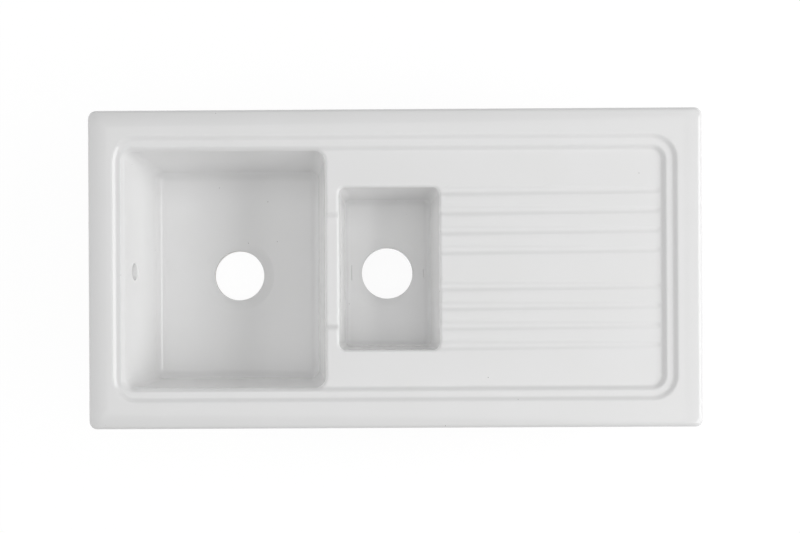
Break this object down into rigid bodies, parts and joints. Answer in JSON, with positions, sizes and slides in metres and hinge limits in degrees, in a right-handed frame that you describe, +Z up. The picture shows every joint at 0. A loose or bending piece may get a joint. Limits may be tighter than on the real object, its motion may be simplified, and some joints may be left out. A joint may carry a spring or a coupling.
{
  "type": "inset kitchen sink with drainboard",
  "caption": "One-piece white ceramic inset kitchen sink with a deep main bowl, a half bowl, a grooved drainer, a rim seal and clamps beneath the rim.",
  "frame": {"origin": "middle of the rim's outline, on the worktop surface that the seal rests on", "axes": "+X to the drainer's end, +Y to the back, +Z up"},
  "size_m": [1.01, 0.525, 0.201],
  "materials": {
    "glazed_ceramic": "gloss white glaze on fireclay",
    "foam_seal": "matt closed-cell foam",
    "nylon_plug": "natural nylon",
    "zinc_screw": "bright zinc plate",
    "zinc_claw": "zinc-plated pressed steel"
  },
  "bodies": {
    "sink": {"sink_body": "glazed_ceramic", "rim_seal": "foam_seal", "clip_1_plug": "nylon_plug", "clip_2_plug": "nylon_plug", "clip_3_plug": "nylon_plug", "clip_4_plug": "nylon_plug", "clip_5_plug": "nylon_plug", "clip_6_plug": "nylon_plug", "clip_7_plug": "nylon_plug", "clip_8_plug": "nylon_plug"},
    "clip_1_carrier": {"clip_1_washer": "zinc_screw"},
    "clip_1_screw": {"clip_1_screw": "zinc_screw"},
    "clip_1_claw": {"clip_1_claw": "zinc_claw"},
    "clip_2_carrier": {"clip_2_washer": "zinc_screw"},
    "clip_2_screw": {"clip_2_screw": "zinc_screw"},
    "clip_2_claw": {"clip_2_claw": "zinc_claw"},
    "clip_3_carrier": {"clip_3_washer": "zinc_screw"},
    "clip_3_screw": {"clip_3_screw": "zinc_screw"},
    "clip_3_claw": {"clip_3_claw": "zinc_claw"},
    "clip_4_carrier": {"clip_4_washer": "zinc_screw"},
    "clip_4_screw": {"clip_4_screw": "zinc_screw"},
    "clip_4_claw": {"clip_4_claw": "zinc_claw"},
    "clip_5_carrier": {"clip_5_washer": "zinc_screw"},
    "clip_5_screw": {"clip_5_screw": "zinc_screw"},
    "clip_5_claw": {"clip_5_claw": "zinc_claw"},
    "clip_6_carrier": {"clip_6_washer": "zinc_screw"},
    "clip_6_screw": {"clip_6_screw": "zinc_screw"},
    "clip_6_claw": {"clip_6_claw": "zinc_claw"},
    "clip_7_carrier": {"clip_7_washer": "zinc_screw"},
    "clip_7_screw": {"clip_7_screw": "zinc_screw"},
    "clip_7_claw": {"clip_7_claw": "zinc_claw"},
    "clip_8_carrier": {"clip_8_washer": "zinc_screw"},
    "clip_8_screw": {"clip_8_screw": "zinc_screw"},
    "clip_8_claw": {"clip_8_claw": "zinc_claw"}
  },
  "joints": [
    {"name": "clip_1_lift", "type": "slide", "parent": "sink", "child": "clip_1_carrier", "axis": [0, 0, 1], "range_m": [0, 0.013]},
    {"name": "clip_1_drive", "type": "hinge", "parent": "clip_1_carrier", "child": "clip_1_screw", "pos_m": [-0.38, 0.225, -0.05], "axis": [0, 0, 1], "range_deg": [0, 2341]},
    {"name": "clip_1_swing", "type": "hinge", "parent": "clip_1_carrier", "child": "clip_1_claw", "pos_m": [-0.38, 0.225, -0.045], "axis": [0, 0, 1], "range_deg": [0, 90]},
    {"name": "clip_2_lift", "type": "slide", "parent": "sink", "child": "clip_2_carrier", "axis": [0, 0, 1], "range_m": [0, 0.013]},
    {"name": "clip_2_drive", "type": "hinge", "parent": "clip_2_carrier", "child": "clip_2_screw", "pos_m": [-0.12667, 0.225, -0.05], "axis": [0, 0, 1], "range_deg": [0, 2341]},
    {"name": "clip_2_swing", "type": "hinge", "parent": "clip_2_carrier", "child": "clip_2_claw", "pos_m": [-0.12667, 0.225, -0.045], "axis": [0, 0, 1], "range_deg": [0, 90]},
    {"name": "clip_3_lift", "type": "slide", "parent": "sink", "child": "clip_3_carrier", "axis": [0, 0, 1], "range_m": [0, 0.013]},
    {"name": "clip_3_drive", "type": "hinge", "parent": "clip_3_carrier", "child": "clip_3_screw", "pos_m": [0.12667, 0.225, -0.05], "axis": [0, 0, 1], "range_deg": [0, 2341]},
    {"name": "clip_3_swing", "type": "hinge", "parent": "clip_3_carrier", "child": "clip_3_claw", "pos_m": [0.12667, 0.225, -0.045], "axis": [0, 0, 1], "range_deg": [0, 90]},
    {"name": "clip_4_lift", "type": "slide", "parent": "sink", "child": "clip_4_carrier", "axis": [0, 0, 1], "range_m": [0, 0.013]},
    {"name": "clip_4_drive", "type": "hinge", "parent": "clip_4_carrier", "child": "clip_4_screw", "pos_m": [0.38, 0.225, -0.05], "axis": [0, 0, 1], "range_deg": [0, 2341]},
    {"name": "clip_4_swing", "type": "hinge", "parent": "clip_4_carrier", "child": "clip_4_claw", "pos_m": [0.38, 0.225, -0.045], "axis": [0, 0, 1], "range_deg": [0, 90]},
    {"name": "clip_5_lift", "type": "slide", "parent": "sink", "child": "clip_5_carrier", "axis": [0, 0, 1], "range_m": [0, 0.013]},
    {"name": "clip_5_drive", "type": "hinge", "parent": "clip_5_carrier", "child": "clip_5_screw", "pos_m": [-0.38, -0.225, -0.05], "axis": [0, 0, 1], "range_deg": [0, 2341]},
    {"name": "clip_5_swing", "type": "hinge", "parent": "clip_5_carrier", "child": "clip_5_claw", "pos_m": [-0.38, -0.225, -0.045], "axis": [0, 0, 1], "range_deg": [0, 90]},
    {"name": "clip_6_lift", "type": "slide", "parent": "sink", "child": "clip_6_carrier", "axis": [0, 0, 1], "range_m": [0, 0.013]},
    {"name": "clip_6_drive", "type": "hinge", "parent": "clip_6_carrier", "child": "clip_6_screw", "pos_m": [-0.12667, -0.225, -0.05], "axis": [0, 0, 1], "range_deg": [0, 2341]},
    {"name": "clip_6_swing", "type": "hinge", "parent": "clip_6_carrier", "child": "clip_6_claw", "pos_m": [-0.12667, -0.225, -0.045], "axis": [0, 0, 1], "range_deg": [0, 90]},
    {"name": "clip_7_lift", "type": "slide", "parent": "sink", "child": "clip_7_carrier", "axis": [0, 0, 1], "range_m": [0, 0.013]},
    {"name": "clip_7_drive", "type": "hinge", "parent": "clip_7_carrier", "child": "clip_7_screw", "pos_m": [0.12667, -0.225, -0.05], "axis": [0, 0, 1], "range_deg": [0, 2341]},
    {"name": "clip_7_swing", "type": "hinge", "parent": "clip_7_carrier", "child": "clip_7_claw", "pos_m": [0.12667, -0.225, -0.045], "axis": [0, 0, 1], "range_deg": [0, 90]},
    {"name": "clip_8_lift", "type": "slide", "parent": "sink", "child": "clip_8_carrier", "axis": [0, 0, 1], "range_m": [0, 0.013]},
    {"name": "clip_8_drive", "type": "hinge", "parent": "clip_8_carrier", "child": "clip_8_screw", "pos_m": [0.38, -0.225, -0.05], "axis": [0, 0, 1], "range_deg": [0, 2341]},
    {"name": "clip_8_swing", "type": "hinge", "parent": "clip_8_carrier", "child": "clip_8_claw", "pos_m": [0.38, -0.225, -0.045], "axis": [0, 0, 1], "range_deg": [0, 90]}
  ],
  "couplings": [
    {"joint": "clip_1_drive", "follows": "clip_1_lift", "rad_per_m": 3141.6},
    {"joint": "clip_2_drive", "follows": "clip_2_lift", "rad_per_m": 3141.6},
    {"joint": "clip_3_drive", "follows": "clip_3_lift", "rad_per_m": 3141.6},
    {"joint": "clip_4_drive", "follows": "clip_4_lift", "rad_per_m": 3141.6},
    {"joint": "clip_5_drive", "follows": "clip_5_lift", "rad_per_m": 3141.6},
    {"joint": "clip_6_drive", "follows": "clip_6_lift", "rad_per_m": 3141.6},
    {"joint": "clip_7_drive", "follows": "clip_7_lift", "rad_per_m": 3141.6},
    {"joint": "clip_8_drive", "follows": "clip_8_lift", "rad_per_m": 3141.6}
  ]
}
